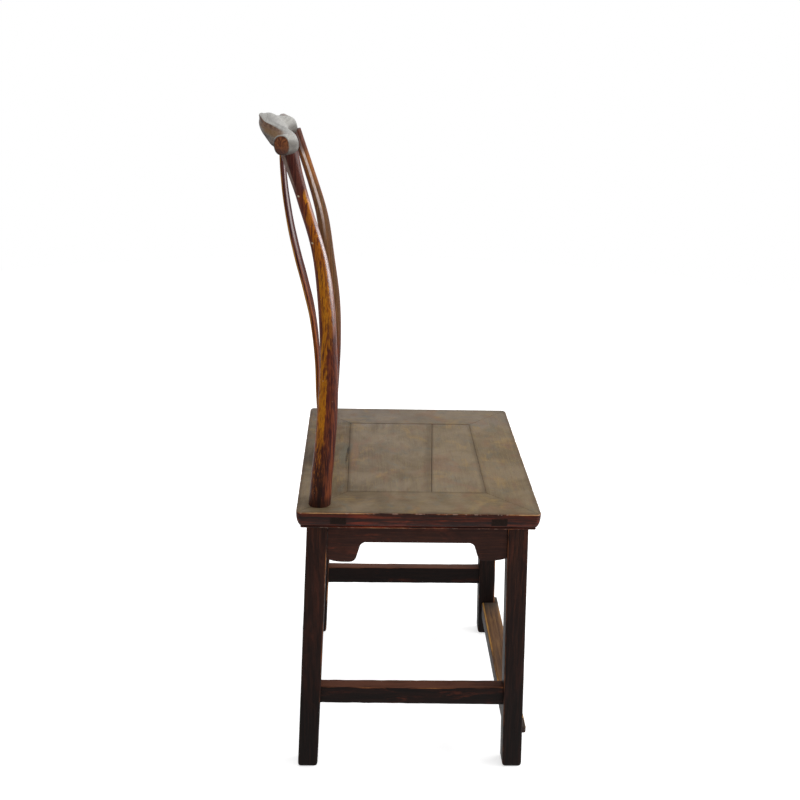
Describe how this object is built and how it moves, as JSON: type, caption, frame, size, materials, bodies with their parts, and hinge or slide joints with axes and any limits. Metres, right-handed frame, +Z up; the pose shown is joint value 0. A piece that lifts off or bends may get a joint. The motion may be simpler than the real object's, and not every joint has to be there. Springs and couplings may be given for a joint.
{
  "type": "wooden dining side chair",
  "caption": "Wooden side chair with yoke-shaped crest rail, curved splat, framed panel seat, splayed legs, stretchers and a footrest.",
  "frame": {"origin": "middle of the bounding box on the floor", "axes": "+Z up; -Y is where the sitter faces; +X is the sitter's left"},
  "size_m": [0.48, 0.477, 1.1123],
  "materials": {
    "leg_wood": "worn dark lacquer over red-brown wood",
    "post_wood": "glossy amber lacquer with red-brown patches, dark below the seat",
    "splat_wood": "glossy plum-brown lacquer with golden edges",
    "crest_wood": "grey-brown sheen on worn lacquer",
    "seat_wood": "matt worn grey-brown top, dark moulded edge",
    "footrest_wood": "bare wood worn by feet"
  },
  "bodies": {
    "root": {"front_leg_right": "leg_wood", "front_leg_left": "leg_wood", "apron_right": "leg_wood", "apron_left": "leg_wood", "apron_front": "leg_wood", "apron_back": "leg_wood", "side_stretcher_right": "leg_wood", "side_stretcher_left": "leg_wood", "back_stretcher": "leg_wood", "footrest_apron": "leg_wood", "seat_batten_right": "leg_wood", "seat_batten_left": "leg_wood", "rear_leg_post_right": "post_wood", "rear_leg_post_left": "post_wood", "splat": "splat_wood", "crest_rail": "crest_wood", "seat_rail_front": "seat_wood", "seat_rail_back": "seat_wood", "seat_rail_right": "seat_wood", "seat_rail_left": "seat_wood", "seat_board_front": "seat_wood", "seat_board_back": "seat_wood", "footrest": "footrest_wood"}
  },
  "joints": []
}
